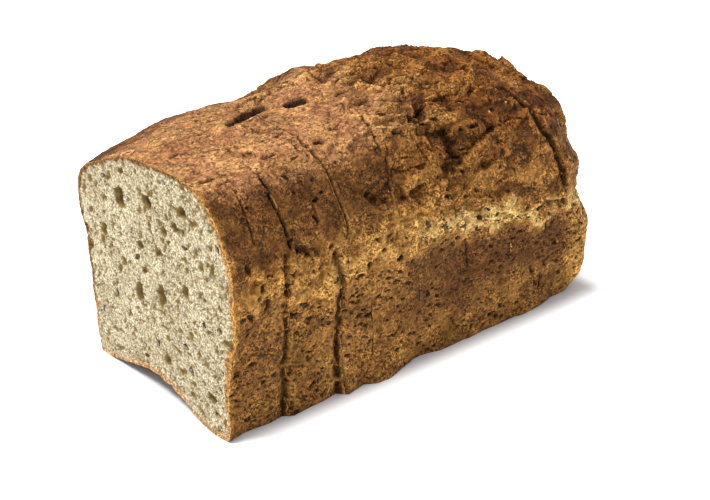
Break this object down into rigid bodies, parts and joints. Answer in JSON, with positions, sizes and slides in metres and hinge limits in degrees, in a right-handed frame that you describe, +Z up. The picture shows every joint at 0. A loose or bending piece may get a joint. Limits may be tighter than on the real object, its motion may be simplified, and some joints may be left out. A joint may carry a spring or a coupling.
{
  "type": "sliced flaxseed bread loaf",
  "caption": "Domed tin loaf of seeded bread, cut into slices that stand together with a rounded end piece, for serving or toasting.",
  "frame": {"origin": "middle of the loaf's footprint, on the surface that it stands on", "axes": "+Z up, +Y along the loaf from the cut face of the first slice to the rounded end piece, +X to the side with the high torn band"},
  "size_m": [0.102, 0.1886, 0.1067],
  "materials": {
    "bread": "matt baked crust with pale open crumb on the cut faces"
  },
  "bodies": {
    "root": {"slice_01": "bread", "slice_02": "bread", "slice_03": "bread", "slice_04": "bread", "slice_05": "bread", "slice_06": "bread", "slice_07": "bread", "slice_08": "bread", "slice_09": "bread", "slice_10": "bread", "slice_11": "bread", "slice_12": "bread", "slice_13": "bread", "end_piece": "bread"}
  },
  "joints": []
}
